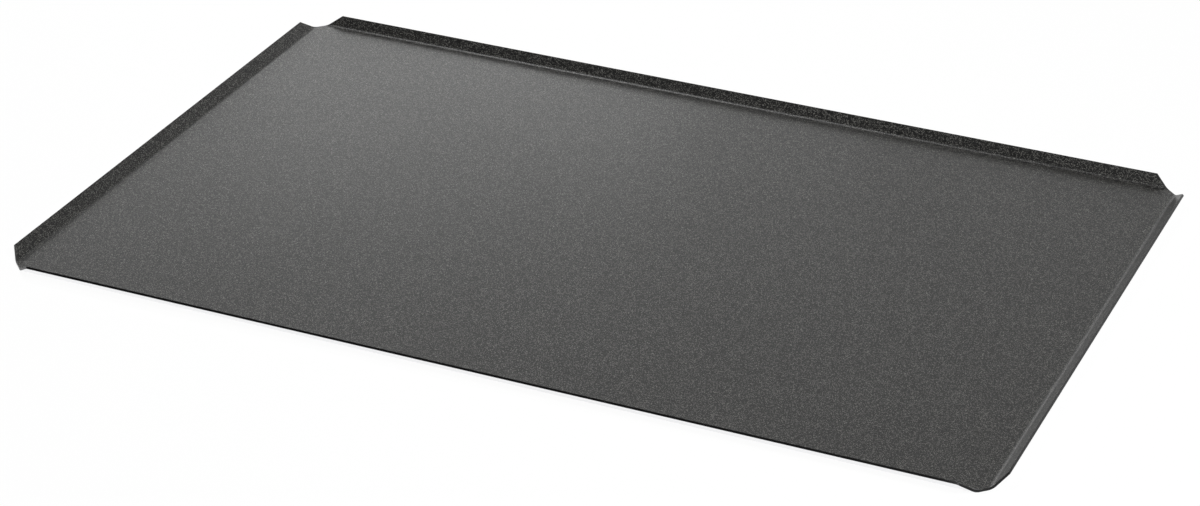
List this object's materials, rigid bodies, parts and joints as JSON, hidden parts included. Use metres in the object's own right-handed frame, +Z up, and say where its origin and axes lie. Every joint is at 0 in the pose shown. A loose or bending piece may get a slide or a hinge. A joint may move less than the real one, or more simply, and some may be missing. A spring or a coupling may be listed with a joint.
{
  "type": "cookie sheet",
  "caption": "Shallow rectangular aluminium baking sheet with low flared edges on all sides, open chamfered corners and a dark speckled non-stick coating on its upper face.",
  "frame": {"origin": "middle of the underside, where the sheet rests", "axes": "+X along the sheet's length, +Y across its width, +Z up out of the baking face"},
  "size_m": [0.6, 0.4, 0.0077],
  "materials": {
    "bare_aluminium": "bright mill-rolled aluminium, fine grain along the length",
    "nonstick_coat": "satin dark grey cured coating with fine pale speckles"
  },
  "bodies": {
    "root": {"pressed_sheet": "bare_aluminium", "nonstick_coating": "nonstick_coat"}
  },
  "joints": []
}
